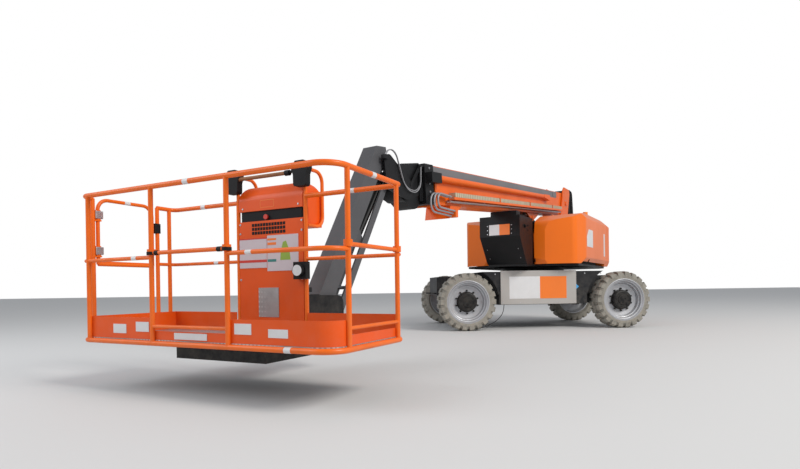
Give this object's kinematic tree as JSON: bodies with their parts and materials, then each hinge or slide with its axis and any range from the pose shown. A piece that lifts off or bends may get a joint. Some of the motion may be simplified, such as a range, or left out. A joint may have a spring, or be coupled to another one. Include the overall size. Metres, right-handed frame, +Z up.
{
  "type": "telescopic boom lift",
  "caption": "Self-propelled telescopic boom lift with a slewed turntable, straight boom, hanging jib and railed work platform, on solid lugged tyres.",
  "frame": {"origin": "ground point under the slewing centre", "axes": "+X to the steered axle, +Y to the chassis left side, +Z up; the turntable is slewed 127.5 degrees clockwise seen from above"},
  "size_m": [7.6268, 9.1325, 3.0023],
  "materials": {
    "tyre_rubber": "matte",
    "rim_paint": "satin",
    "orange_paint": "gloss",
    "grey_paint": "satin",
    "black_paint": "satin",
    "panel_paint": "satin",
    "dark_paint": "satin",
    "counterweight_iron": "gloss",
    "hood_shell": "gloss",
    "pack_block": "matte",
    "chain_plastic": "matte",
    "bright_steel": "satin",
    "chrome_rod": "gloss",
    "floor_aluminium": "satin",
    "black_plastic": "matte",
    "amber_lens": "gloss",
    "hose_rubber": "satin",
    "hose_silver": "satin",
    "lamp_body": "satin"
  },
  "bodies": {
    "chassis": {"chassis_frame": "dark_paint", "side_panels": "panel_paint", "slew_ring": "black_paint", "axle_fixed": "black_paint", "axle_steer": "black_paint", "earth_strap": "hose_rubber"},
    "knuckle_l": {"knuckle_left": "black_paint"},
    "knuckle_r": {"knuckle_right": "black_paint"},
    "steer_rod": {"steer_rod": "bright_steel"},
    "turntable": {"turntable_base": "black_paint", "boom_posts": "orange_paint", "front_block": "black_paint", "counterweight": "counterweight_iron", "power_packs": "pack_block", "hood_stands": "black_paint", "hose_cap": "black_plastic", "mast_hoses": "hose_rubber"},
    "hood_l": {"hood_left": "hood_shell", "beacon": "amber_lens"},
    "hood_r": {"hood_right": "hood_shell"},
    "boom": {"boom_lower": "orange_paint", "boom_upper": "grey_paint", "chain_tray": "orange_paint", "energy_chain": "chain_plastic", "boom_pipes": "bright_steel", "boom_guard": "orange_paint", "nose_hoses": "hose_silver"},
    "mid": {"boom_mid": "grey_paint", "push_tube": "orange_paint"},
    "fly": {"boom_fly": "grey_paint", "fly_head": "black_paint"},
    "lift_barrel": {"lift_barrel": "black_paint"},
    "lift_rod": {"lift_rod": "chrome_rod"},
    "level": {"level_bracket": "black_paint", "jib_hoses": "hose_rubber"},
    "jib": {"jib_beam": "grey_paint"},
    "link": {"jib_link": "grey_paint"},
    "jib_barrel": {"jib_barrel": "black_paint"},
    "jib_rod": {"jib_rod": "chrome_rod"},
    "end": {"end_bracket": "black_paint"},
    "platform": {"platform_support": "black_paint", "platform_rails": "orange_paint", "platform_floor": "floor_aluminium", "toe_boards": "orange_paint", "console": "orange_paint", "control_face": "black_plastic", "console_guard": "orange_paint", "crush_bar": "black_paint", "work_lamp": "lamp_body"},
    "gate": {"side_gate": "orange_paint"},
    "bar_front": {"drop_bar_front": "orange_paint"},
    "bar_side": {"drop_bar_side": "orange_paint"},
    "wheel_rear_right": {"tyre_rear_right": "tyre_rubber", "rim_rear_right": "rim_paint"},
    "wheel_rear_left": {"tyre_rear_left": "tyre_rubber", "rim_rear_left": "rim_paint"},
    "wheel_front_right": {"tyre_front_right": "tyre_rubber", "rim_front_right": "rim_paint"},
    "wheel_front_left": {"tyre_front_left": "tyre_rubber", "rim_front_left": "rim_paint"}
  },
  "joints": [
    {"name": "wheel_rear_right_spin", "type": "hinge", "parent": "chassis", "child": "wheel_rear_right", "pos_m": [-1.58, -1.055, 0.505], "axis": [0, 1, 0], "continuous": true},
    {"name": "wheel_rear_left_spin", "type": "hinge", "parent": "chassis", "child": "wheel_rear_left", "pos_m": [-1.58, 1.055, 0.505], "axis": [0, 1, 0], "continuous": true},
    {"name": "wheel_front_right_spin", "type": "hinge", "parent": "knuckle_r", "child": "wheel_front_right", "pos_m": [1.24, -1.055, 0.505], "axis": [0, 1, 0], "continuous": true},
    {"name": "wheel_front_left_spin", "type": "hinge", "parent": "knuckle_l", "child": "wheel_front_left", "pos_m": [1.24, 1.055, 0.505], "axis": [0, 1, 0], "continuous": true},
    {"name": "steer_left", "type": "hinge", "parent": "chassis", "child": "knuckle_l", "pos_m": [1.24, 0.925, 0.505], "axis": [0, 0, 1], "range_deg": [-35, 35]},
    {"name": "steer_right", "type": "hinge", "parent": "chassis", "child": "knuckle_r", "pos_m": [1.24, -0.925, 0.505], "axis": [0, 0, 1], "range_deg": [-35, 35]},
    {"name": "steer_rod_slide", "type": "slide", "parent": "chassis", "child": "steer_rod", "axis": [0, 1, 0], "range_m": [-0.1215, 0.1215]},
    {"name": "slew", "type": "hinge", "parent": "chassis", "child": "turntable", "pos_m": [0, 0, 1.12], "axis": [0, 0, 1], "continuous": true},
    {"name": "hood_left_lift", "type": "hinge", "parent": "turntable", "child": "hood_l", "pos_m": [0.30465, -0.23376, 2.152], "axis": [-0.6088, -0.7934, 0], "range_deg": [0, 60]},
    {"name": "hood_right_lift", "type": "hinge", "parent": "turntable", "child": "hood_r", "pos_m": [-0.30465, 0.23376, 2.152], "axis": [0.6088, 0.7934, 0], "range_deg": [0, 60]},
    {"name": "luff", "type": "hinge", "parent": "turntable", "child": "boom", "pos_m": [1.0836, 1.41217, 2.61], "axis": [-0.7934, 0.6088, 0], "range_deg": [0, 80]},
    {"name": "lift_barrel_swing", "type": "hinge", "parent": "turntable", "child": "lift_barrel", "pos_m": [0.79139, 1.03136, 1.68], "axis": [-0.7934, 0.6088, 0], "range_deg": [0, 68.25]},
    {"name": "lift_rod_slide", "type": "slide", "parent": "lift_barrel", "child": "lift_rod", "axis": [-0.5912, -0.7705, 0.2383], "range_m": [0, 1.2665]},
    {"name": "telescope_mid", "type": "slide", "parent": "boom", "child": "mid", "axis": [-0.6064, -0.7903, -0.0872], "range_m": [0, 4.3]},
    {"name": "telescope_fly", "type": "slide", "parent": "mid", "child": "fly", "axis": [-0.6064, -0.7903, -0.0872], "range_m": [0, 4.3]},
    {"name": "level", "type": "hinge", "parent": "fly", "child": "level", "pos_m": [-3.04381, -3.96677, 1.93], "axis": [-0.7934, 0.6088, 0], "range_deg": [-80, 0]},
    {"name": "jib_pitch", "type": "hinge", "parent": "level", "child": "jib", "pos_m": [-3.26905, -4.26031, 2.16], "axis": [-0.7934, 0.6088, 0], "range_deg": [0, 125]},
    {"name": "jib_link_swing", "type": "hinge", "parent": "level", "child": "link", "pos_m": [-3.259, -4.24722, 1.9356], "axis": [-0.7934, 0.6088, 0], "range_deg": [0, 125]},
    {"name": "jib_barrel_swing", "type": "hinge", "parent": "level", "child": "jib_barrel", "pos_m": [-3.259, -4.24722, 1.9356], "axis": [-0.7934, 0.6088, 0], "range_deg": [0, 121.11]},
    {"name": "jib_rod_slide", "type": "slide", "parent": "jib_barrel", "child": "jib_rod", "axis": [-0.3493, -0.4552, -0.819], "range_m": [0, 0.3941]},
    {"name": "end_level", "type": "hinge", "parent": "jib", "child": "end", "pos_m": [-3.83516, -4.99808, 0.63052], "axis": [-0.7934, 0.6088, 0], "range_deg": [-125, 0]},
    {"name": "platform_turn", "type": "hinge", "parent": "end", "child": "platform", "pos_m": [-4.13958, -5.3948, 0.6], "axis": [0, 0, 1], "range_deg": [-80, 80]},
    {"name": "gate_swing", "type": "hinge", "parent": "platform", "child": "gate", "pos_m": [-5.66285, -5.62791, 1.2], "axis": [0, 0, 1], "range_deg": [0, 85]},
    {"name": "drop_bar_front_lift", "type": "slide", "parent": "platform", "child": "bar_front", "axis": [0, 0, 1], "range_m": [0, 0.4]},
    {"name": "drop_bar_side_lift", "type": "slide", "parent": "platform", "child": "bar_side", "axis": [0, 0, 1], "range_m": [0, 0.4]}
  ],
  "couplings": [
    {"joint": "steer_right", "follows": "steer_left", "ratio": 1},
    {"joint": "steer_rod_slide", "follows": "steer_left", "m_per_rad": 0.19718},
    {"joint": "lift_barrel_swing", "follows": "luff", "ratio": 0.853},
    {"joint": "lift_rod_slide", "follows": "luff", "m_per_rad": 0.90671},
    {"joint": "level", "follows": "luff", "ratio": -1},
    {"joint": "telescope_fly", "follows": "telescope_mid", "ratio": 1},
    {"joint": "jib_link_swing", "follows": "jib_pitch", "ratio": 1},
    {"joint": "jib_barrel_swing", "follows": "jib_pitch", "ratio": 0.96881},
    {"joint": "jib_rod_slide", "follows": "jib_pitch", "m_per_rad": 0.18042},
    {"joint": "end_level", "follows": "jib_pitch", "ratio": -1}
  ]
}
